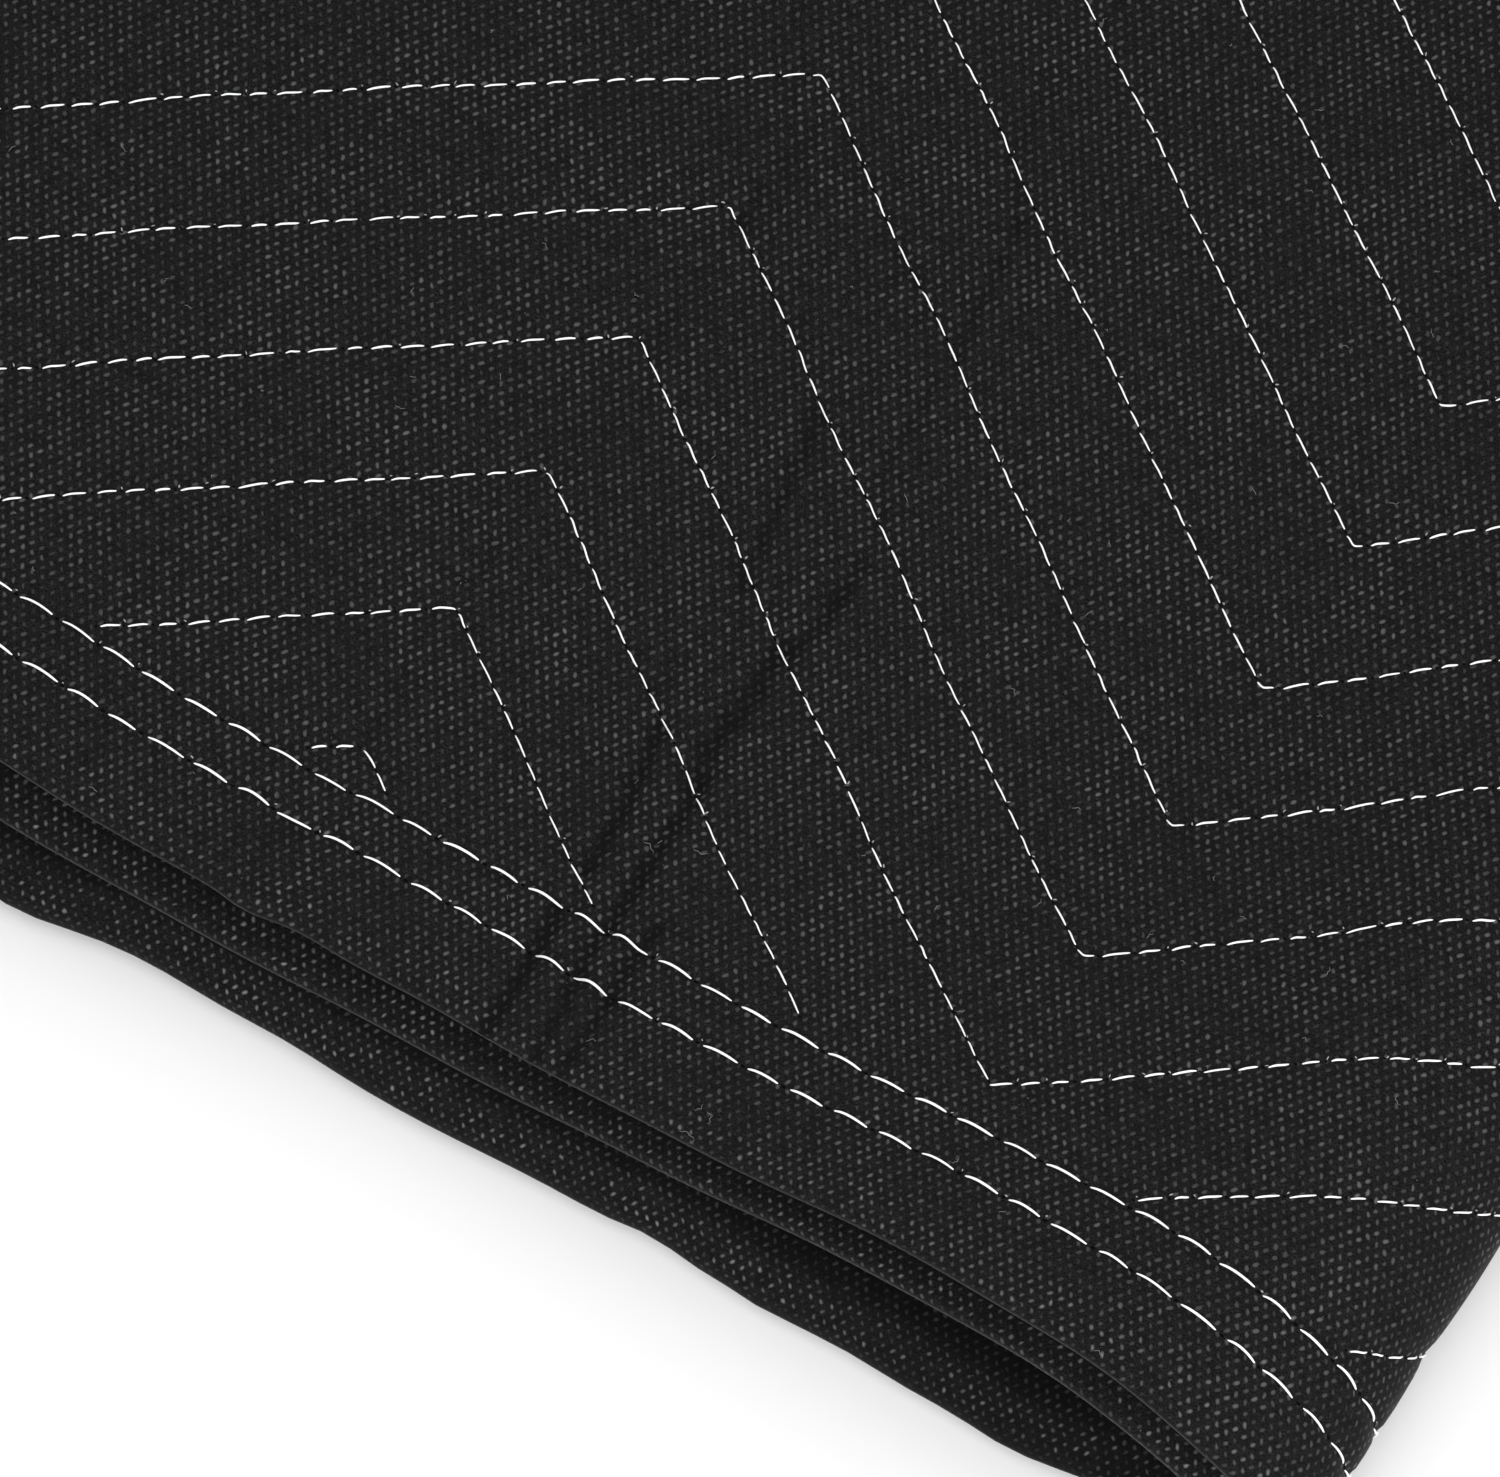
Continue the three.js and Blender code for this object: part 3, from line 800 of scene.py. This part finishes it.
def dot_glints(nodes, lower, inset, patchy):
    """Painted glints on the dots' middles: most near the lower plies' edges, and in patches."""
    by_edge = nodes.step(inset, 2 * MM, 9 * MM, 1.0, 0.0)
    # Painted glints, strongest near the lower plies' front edges
    edge_glint = nodes.math("MULTIPLY", nodes.step(lower, 0.0, 1.0, 0.3, 0.55), by_edge)
    glint = nodes.math("ADD", edge_glint, nodes.step(patchy, 0.45, 0.75, 0.02, 0.3))
    return nodes.math("MULTIPLY", glint, nodes.step(inset, 0.1 * MM, 1.1 * MM))


def cloth_material():
    nodes = Nodes("black_nonwoven")
    uv = nodes.tree.nodes.new("ShaderNodeUVMap")
    uv.uv_map = "cloth"
    apart = nodes.tree.nodes.new("ShaderNodeSeparateXYZ")
    nodes.link(uv.outputs[0], apart.inputs[0])
    s, v = apart.outputs[0], apart.outputs[1]
    jitter, patchy, mottle, speck = (
        nodes.noise(uv.outputs[0], *PATTERNS[name]) for name in ("jitter", "patchy", "mottle", "specks")
    )
    stretched = nodes.combine(nodes.math("MULTIPLY", s, GRAIN_STRETCH), v)
    grain = nodes.noise(stretched, *PATTERNS["grain"])
    off = nodes.math("MULTIPLY", nodes.math("SUBTRACT", jitter, 0.5), JITTER)
    dash, core = dashes(nodes, nodes.math("ADD", s, off), nodes.math("SUBTRACT", v, off))
    inset = nodes.math("MINIMUM", v, nodes.math("SUBTRACT", WIDTH * MM, v))
    unshaded, lower = painted_shade(nodes, s, inset, patchy)
    glint = dot_glints(nodes, lower, inset, patchy)
    shown = nodes.math("MULTIPLY", dash, nodes.step(patchy, 0.28, 0.72, 0.35, 0.95))
    shown = nodes.math("MAXIMUM", shown, nodes.step(speck, 0.76, 0.84, 0.0, 0.9))
    depth = nodes.math("MULTIPLY", nodes.step(grain, 0.34, 0.68), nodes.step(mottle, 0.3, 0.7, 0.5, 1.0))
    # Where painted shade lies, the ground goes towards HOLLOW and the dots fade
    ground = nodes.mix(nodes.math("MULTIPLY", depth, unshaded), HOLLOW, FIBRE)
    at_edge = nodes.step(inset, -0.8 * MM, 0.3 * MM, 0.3, 1.0)
    seen = nodes.math("MULTIPLY", nodes.math("MULTIPLY", shown, unshaded), at_edge)
    # Painted glints on the dots' middles, fainter in the painted shade
    bright = nodes.math("MULTIPLY", nodes.math("MULTIPLY", core, glint), unshaded)
    colour = nodes.mix(bright, nodes.mix(seen, ground, DOT), GLINT_DOT)
    nodes.link(colour, nodes.shader.inputs["Base Color"])
    nodes.link(nodes.step(shown, 0.0, 0.9, 0.85, 0.36), nodes.shader.inputs["Roughness"])
    nodes.shader.inputs["Specular IOR Level"].default_value = 0.06
    nodes.shader.inputs["Sheen Weight"].default_value = 0.09
    nodes.shader.inputs["Sheen Roughness"].default_value = 0.27
    normal = nodes.bump(grain, RELIEF, 0.6)
    normal = nodes.bump(shown, RELIEF, -0.7, normal)
    nodes.link(normal, nodes.shader.inputs["Normal"])
    return nodes.material


THREAD_DIM = 0.8  # of the thread's darker places


def thread_material(name, colour):
    nodes = Nodes(name)
    coordinates = nodes.tree.nodes.new("ShaderNodeTexCoord")
    ply = nodes.noise(coordinates.outputs["Object"], 2200.0, 2.0)
    dim = tuple(channel * THREAD_DIM for channel in colour[:3]) + (1,)
    nodes.link(nodes.mix(ply, dim, colour), nodes.shader.inputs["Base Color"])
    nodes.shader.inputs["Roughness"].default_value = 0.5
    nodes.shader.inputs["Sheen Weight"].default_value = 0.2
    nodes.link(nodes.bump(ply, 0.00006, 0.5), nodes.shader.inputs["Normal"])
    return nodes.material


WHITE_THREAD = thread_material("white_thread", (0.8, 0.8, 0.79, 1))
LOOSE_FIBRE = thread_material("loose_fibre", (0.26, 0.26, 0.26, 1))


def hole_material():
    nodes = Nodes("needle_hole")
    # Dark as painted shade inside a needle pit
    nodes.shader.inputs["Base Color"].default_value = (0.0015, 0.0015, 0.0015, 1)
    nodes.shader.inputs["Roughness"].default_value = 0.9
    nodes.shader.inputs["Specular IOR Level"].default_value = 0.02
    return nodes.material


def new_object(name, mesh, material):
    obj = bpy.data.objects.new(name, mesh)
    mesh.materials.append(material)
    bpy.context.collection.objects.link(obj)
    return obj


def smooth(mesh):
    mesh.polygons.foreach_set("use_smooth", np.ones(len(mesh.polygons), dtype=bool))
    mesh.update()


mesh = pad_mesh()
smooth(mesh)
pad = new_object("pad_cloth", mesh, cloth_material())
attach(pad, "root")
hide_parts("pad")

# Seams: pitch and gap along the line, unevenness of the pitch, the thread's radius, its arch over the
# cloth, and how far it bows and sways sideways
RNG = np.random.default_rng(41)
QUILT_SEAM = {
    "pitch": 4.42,
    "gap": 1.1,
    "uneven": 0.15,
    "radius": 0.16,
    "arch": 0.14,
    "bow": 0.03,
    "sway": 0.07,
}
HEM_SEAM = {
    "pitch": 7.4,
    "gap": 1.1,
    "uneven": 0.07,
    "radius": 0.19,
    "arch": 0.2,
    "bow": 0.25,
    "sway": 0.02,
}
# Turn of the stitches from their line, in degrees, and how wide their gaps and how thick they are
RISING = {"turn": 1.5, "gap": 0.35, "thick": 0.87}
FALLING = {"turn": 6.0, "gap": 1.0, "thick": 1.0}
STRAIGHT = {"turn": 1.0, "gap": 1.0, "thick": 1.0}
# How much single stitches differ, as shares of their seam's sizes, and of their turn in degrees
SPREAD = {"gap": (0.6, 1.4), "bow": (0.4, 1.5), "sway": (-0.4, 1.4), "radius": (0.88, 1.1)}
TURN_SPREAD = 1.3
BOW_SKEW = 0.9  # how much more a stitch bows near its end
QUILT_START = 6.0  # lengths from the ribbon's ends to the first stitches
HEM_START = 5.0
HEM_SWAY = 0.25  # how far the hems' rows wander, and over what length
HEM_SWAY_LENGTH = 17.0
QUILT_RINGS = 9
HEM_RINGS = 13
STITCH_PAST = 0.8  # how far a quilting stitch may reach into the hem, and its hole
HOLE_PAST = 0.5
THREAD_LAID = 0.75  # height of a stitch's ends over the cloth, in radii
TAPER_POWER = 3.2
TAPER_LEAST = 0.04


def on_leg(s, name):
    """A share of RISING where the zigzag climbs along the ribbon, and of FALLING elsewhere."""
    rising = (np.floor((s - SECTION.nose_at - LOW_CORNER) / LEG) % 2) == 0
    return np.where(rising, RISING[name], FALLING[name])


def on_hem(_, name):
    return STRAIGHT[name]


def quilting_course(line):
    def course(s):
        v = FIELD_INSET + line * GAUGE + zigzag_at(s)
        return v + wobble_at(s, v)

    return course


def hem_course(row):
    return lambda s: row + HEM_SWAY * np.sin(s / HEM_SWAY_LENGTH + row)


def needle_places(start, end, pitch, uneven):
    """Holes of one row by their s."""
    count = int((end - start) / pitch)
    return start + pitch * (np.arange(count) + RNG.uniform(0, 1) + uneven * RNG.uniform(-1, 1, count))


def stitch_courses(holes, course, seam, cos, shares, rings):
    """Stitches of one row as s and v at each of their rings."""
    gaps = seam["gap"] * cos * shares(holes, "gap") * RNG.uniform(*SPREAD["gap"], len(holes))
    start, end = holes[:-1] + gaps[:-1] / 2, holes[1:] - gaps[1:] / 2
    t = np.linspace(-0.5, 0.5, rings)
    s = (start + end)[:, None] / 2 + (end - start)[:, None] * t
    one = (len(start), 1)
    turned = -np.tan(np.radians(shares(s[:, :1], "turn") + RNG.normal(0, TURN_SPREAD, one))) / cos**2
    bow = seam["bow"] * RNG.uniform(*SPREAD["bow"], one) * (1 - 4 * t**2) * (1 + BOW_SKEW * t)
    sway = seam["sway"] * RNG.uniform(*SPREAD["sway"], one) * np.sin(2 * np.pi * t)
    v = course(s) + turned * (s - s.mean(axis=1, keepdims=True)) + (bow + sway) / cos
    return s, v


def sewn_rows(courses, start, end, seam, cos, shares, rings):
    """All stitches along some courses as s and v, and their holes as s and v."""
    stitches, holes = [], []
    for course in courses:
        at = needle_places(start, end, seam["pitch"] * cos, seam["uneven"])
        stitches.append(stitch_courses(at, course, seam, cos, shares, rings))
        holes.append(np.c_[at, course(at)])
    return np.vstack([s for s, _ in stitches]), np.vstack([v for _, v in stitches]), np.vstack(holes)


def tube_mesh(name, s, v, lift, radius, sides):
    """Tapered tubes over the outward face, all in one mesh. s, v and lift have a row for each tube
    and a column for each of its rings, and radius one number for each tube."""
    count, rings = s.shape
    t = np.linspace(-0.5, 0.5, rings)
    centre = cloth_point(s, v, 1, lift)
    ahead = np.gradient(centre, axis=1)
    ahead /= np.linalg.norm(ahead, axis=2, keepdims=True)
    _, _, out_x, out_z = SECTION.frame(s)
    up = np.stack([out_x, np.zeros_like(out_x), out_z], -1)
    across = np.cross(ahead, up)
    across /= np.linalg.norm(across, axis=2, keepdims=True)
    up = np.cross(across, ahead)
    taper = np.sqrt(np.clip(1 - (2 * np.abs(t)) ** TAPER_POWER, TAPER_LEAST, 1))
    reach = radius[:, None, None, None] * taper[None, :, None, None]
    angle = 2 * np.pi * np.arange(sides) / sides
    ring = centre[:, :, None, :] + reach * (
        np.cos(angle)[None, None, :, None] * across[:, :, None, :]
        + np.sin(angle)[None, None, :, None] * up[:, :, None, :]
    )
    first = (np.arange(count) * rings * sides)[:, None, None]
    here = first + np.arange(rings - 1)[None, :, None] * sides
    k = np.arange(sides)[None, None, :]
    following = (k + 1) % sides
    corners = [here + k, here + following, here + sides + following, here + sides + k]
    quads = np.stack(corners, -1).reshape(-1, 4)
    start_cap = first[:, 0] + np.arange(sides)[::-1]
    end_cap = first[:, 0] + (rings - 1) * sides + np.arange(sides)
    mesh = bpy.data.meshes.new(name)
    faces = quads.tolist() + start_cap.tolist() + end_cap.tolist()
    mesh.from_pydata(to_metres(ring.reshape(-1, 3)).tolist(), [], faces)
    smooth(mesh)
    return mesh


def add_piece(name, mesh, material):
    obj = new_object(name, mesh, material)
    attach(obj, "root")
    print(name, sum(len(face.vertices) - 2 for face in mesh.polygons), "triangles")
    return obj


# The photographed corner, which has the finer stitches
CORNER_ROUND = 8  # how far it reaches round the outer fold
CORNER_DEPTH = 245  # and into the pad


def in_corner(s, v):
    x, _ = SECTION.point(s)
    on_face = (s > SECTION.nose_at - CORNER_ROUND) & (s < SECTION.top_end)
    return on_face & (x > VIEW_X) & (v < CORNER_DEPTH)


def stitch_piece(name, s, v, seam, sides, thick):
    t = np.linspace(-0.5, 0.5, s.shape[1])
    dive = (2 * np.abs(t)) ** 3 * (seam["radius"] + seam["arch"])
    lift = seam["radius"] * THREAD_LAID + seam["arch"] * (1 - (2 * t) ** 2) - dive
    radius = seam["radius"] * thick * RNG.uniform(*SPREAD["radius"], len(s))
    mesh = tube_mesh(name, s, v, np.broadcast_to(lift, s.shape), radius, sides)
    return add_piece(name, mesh, WHITE_THREAD)


def stitch_pieces(parts, s, v, seam, shares):
    """A seam's pieces, each by its name, its stitches, one ring in so many, and its thread's sides."""
    middle = s.shape[1] // 2
    pieces = []
    for name, chosen, step, sides in parts:
        thick = shares(s[chosen, middle], "thick")
        pieces.append(stitch_piece(name, s[chosen][:, ::step], v[chosen][:, ::step], seam, sides, thick))
    return pieces


def quilting():
    courses = [quilting_course(line) for line in range(-LEG_RISE, GAUGES + 1)]
    s, v, holes = sewn_rows(
        courses, QUILT_START, SECTION.small_end, QUILT_SEAM, LINE_COS, on_leg, QUILT_RINGS
    )
    kept = np.minimum(v, WIDTH - v).min(axis=1) > QUILT_END - STITCH_PAST
    s, v = s[kept], v[kept]
    middle = QUILT_RINGS // 2
    near = in_corner(s[:, middle], v[:, middle])
    under = s[:, middle] < SECTION.bottom_end
    parts = [
        ("quilting_corner", near, 1, 7),
        ("quilting_top", ~near & ~under, 2, 4),
        ("quilting_under", under, 4, 3),
    ]
    shown = in_corner(holes[:, 0], holes[:, 1]) & (holes[:, 1] > QUILT_END - HOLE_PAST)
    return stitch_pieces(parts, s, v, QUILT_SEAM, on_leg), holes[shown]


def hems():
    courses = [hem_course(place) for inset in HEM_ROWS for place in (inset, WIDTH - inset)]
    s, v, holes = sewn_rows(
        courses, HEM_START, SECTION.length - HEM_START, HEM_SEAM, 1.0, on_hem, HEM_RINGS
    )
    middle = HEM_RINGS // 2
    near = in_corner(s[:, middle], v[:, middle])
    parts = [("hem_corner", near, 1, 8), ("hem_rest", ~near, 2, 5)]
    return stitch_pieces(parts, s, v, HEM_SEAM, on_hem), holes


# Needle holes: half their lengths along the cloth and across it
QUILT_HOLE = (0.28, 0.16)
HEM_HOLE = (0.38, 0.22)
HOLE_SIDES = 8
HOLE_LIFT = 0.09


def needle_holes(quilt_holes, hem_holes):
    """Painted shade of the pits where the thread goes in, as small dark discs."""
    angle = 2 * np.pi * np.arange(HOLE_SIDES) / HOLE_SIDES
    points, faces = [], []
    for holes, (reach_s, reach_v) in ((quilt_holes, QUILT_HOLE), (hem_holes, HEM_HOLE)):
        s = holes[:, :1] + reach_s * np.cos(angle)
        v = holes[:, 1:] + reach_v * np.sin(angle)
        start = sum(len(part) for part in points)
        points.append(cloth_point(s, v, 1, HOLE_LIFT).reshape(-1, 3))
        corners = start + np.arange(len(holes) * HOLE_SIDES).reshape(-1, HOLE_SIDES)
        faces += corners[:, ::-1].tolist()
    mesh = bpy.data.meshes.new("needle_holes")
    mesh.from_pydata(to_metres(np.vstack(points)).tolist(), [], faces)
    return add_piece("needle_holes", mesh, hole_material())


FIBRE_RINGS = 9
FIBRE_SIDES = 4
FIBRE_CURL = 0.35  # of its second bend, as a share of its bow


def fibres(name, s, v, turn, length, bow, lift, radius):
    """Short curled fibres, each by its middle's s and v, its direction, its length and its bow."""
    t = np.linspace(-0.5, 0.5, FIBRE_RINGS)
    curl = bow[:, None] * (1 - 4 * t**2) + FIBRE_CURL * bow[:, None] * np.sin(4 * np.pi * t)
    cos, sin = np.cos(turn)[:, None], np.sin(turn)[:, None]
    along = length[:, None] * t
    height = lift[:, None] * (0.6 + 0.4 * np.cos(3 * np.pi * t))
    course_s = s[:, None] + cos * along - sin * curl
    course_v = v[:, None] + sin * along + cos * curl
    mesh = tube_mesh(name, course_s, course_v, height, radius, FIBRE_SIDES)
    return add_piece(name, mesh, LOOSE_FIBRE)


# Tips of the lower thread: the share of holes that show one, and where it lies from the hole
TIP_SHARE = 0.4
TIP_ALONG = 0.35
TIP_BESIDE = (0.35, 0.75)
TIP_LENGTHS = (0.3, 0.6)
TIP_RADII = (0.08, 0.14)
TIP_LIFT = 0.08


def thread_tips(holes):
    chosen = holes[RNG.uniform(0, 1, len(holes)) < TIP_SHARE]
    count = len(chosen)
    s = chosen[:, 0] + RNG.uniform(-TIP_ALONG, TIP_ALONG, count)
    v = chosen[:, 1] + RNG.uniform(*TIP_BESIDE, count)
    turn = RNG.uniform(0, math.pi, count)
    length = RNG.uniform(*TIP_LENGTHS, count)
    radius = RNG.uniform(*TIP_RADII, count)
    return fibres("thread_tips", s, v, turn, length, np.zeros(count), np.full(count, TIP_LIFT), radius)


# Lint that shows: x, y, turn in degrees, length and bow
LINT = [
    (97, 37.5, 20, 2.2, 0.5),
    (104, 41, 170, 2.4, 0.4),
    (127, 0.6, 5, 2.8, 0.4),
    (128, 4.5, 60, 2.2, 0.7),
    (126, 5.4, 120, 1.6, 0.5),
    (196, 0.8, 10, 1.8, 0.4),
    (129, 87, 40, 1.6, 0.5),
    (150, 60, 95, 1.5, 0.3),
]
# Small lint scattered about the corner, between these places, lengths and bows
SCATTERED_LINT = 90
LINT_X = (VIEW_X, 214)
LINT_Y = (3, 240)
LINT_LENGTHS = (0.4, 1.7)
LINT_BOWS = (-0.35, 0.35)
LINT_LIFTS = (0.12, 0.3)
LINT_RADIUS = 0.024


def lint():
    """Loose fibres on the top face."""
    scattered = np.c_[
        RNG.uniform(*LINT_X, SCATTERED_LINT),
        RNG.uniform(*LINT_Y, SCATTERED_LINT),
        RNG.uniform(0, 180, SCATTERED_LINT),
        RNG.uniform(*LINT_LENGTHS, SCATTERED_LINT),
        RNG.uniform(*LINT_BOWS, SCATTERED_LINT),
    ]
    x, y, turn, length, bow = np.vstack([np.array(LINT), scattered]).T
    places = np.linspace(SECTION.nose_at, SECTION.top_end, 2000)
    s = np.interp(-x, -SECTION.point(places)[0], places)
    v = y + slip_at(s, x)
    count = len(x)
    lift = RNG.uniform(*LINT_LIFTS, count)
    return fibres("lint", s, v, np.radians(turn), length, bow, lift, np.full(count, LINT_RADIUS))


quilt_pieces, quilt_holes = quilting()
hem_pieces, hem_holes = hems()
near_hem_holes = hem_holes[in_corner(hem_holes[:, 0], hem_holes[:, 1])]
details = [
    needle_holes(quilt_holes, hem_holes),
    thread_tips(np.vstack([quilt_holes, near_hem_holes])),
    lint(),
]


# Floor and light
FLOOR_TONES = ((0.64, 0.64, 0.64, 1), (0.66, 0.66, 0.66, 1))
FLOOR_REACH = 15.0
WORLD_STRENGTH = 1.3


def floor():
    nodes = Nodes("pale_floor")
    coordinates = nodes.tree.nodes.new("ShaderNodeTexCoord")
    faint = nodes.noise(coordinates.outputs["Object"], 4.0, 2.0)
    nodes.link(nodes.mix(faint, *FLOOR_TONES), nodes.shader.inputs["Base Color"])
    nodes.shader.inputs["Roughness"].default_value = 0.7
    mesh = bpy.data.meshes.new("floor")
    corners = [(x * FLOOR_REACH, y * FLOOR_REACH, 0) for x, y in ((-1, -1), (1, -1), (1, 1), (-1, 1))]
    mesh.from_pydata(corners, [], [(0, 1, 2, 3)])
    obj = new_object("floor", mesh, nodes.material)


def area_light(name, place, target, size, power):
    data = bpy.data.lights.new(name, "AREA")
    data.shape = "DISK"
    data.size = size
    data.energy = power
    obj = bpy.data.objects.new(name, data)
    obj.location = place
    obj.rotation_mode = "QUATERNION"
    obj.rotation_quaternion = (Vector(target) - Vector(place)).to_track_quat("-Z", "Y")
    bpy.context.collection.objects.link(obj)


def studio():
    world = bpy.data.worlds.new("studio")
    world.use_nodes = True
    background = world.node_tree.nodes["Background"]
    background.inputs["Color"].default_value = (1, 1, 1, 1)
    background.inputs["Strength"].default_value = WORLD_STRENGTH
    bpy.context.scene.world = world
    bpy.context.scene.view_settings.view_transform = "Standard"
    area_light("key", (0.65, -1.0, 0.55), (0.15, -0.45, 0), 0.5, 6.4)


floor()
studio()
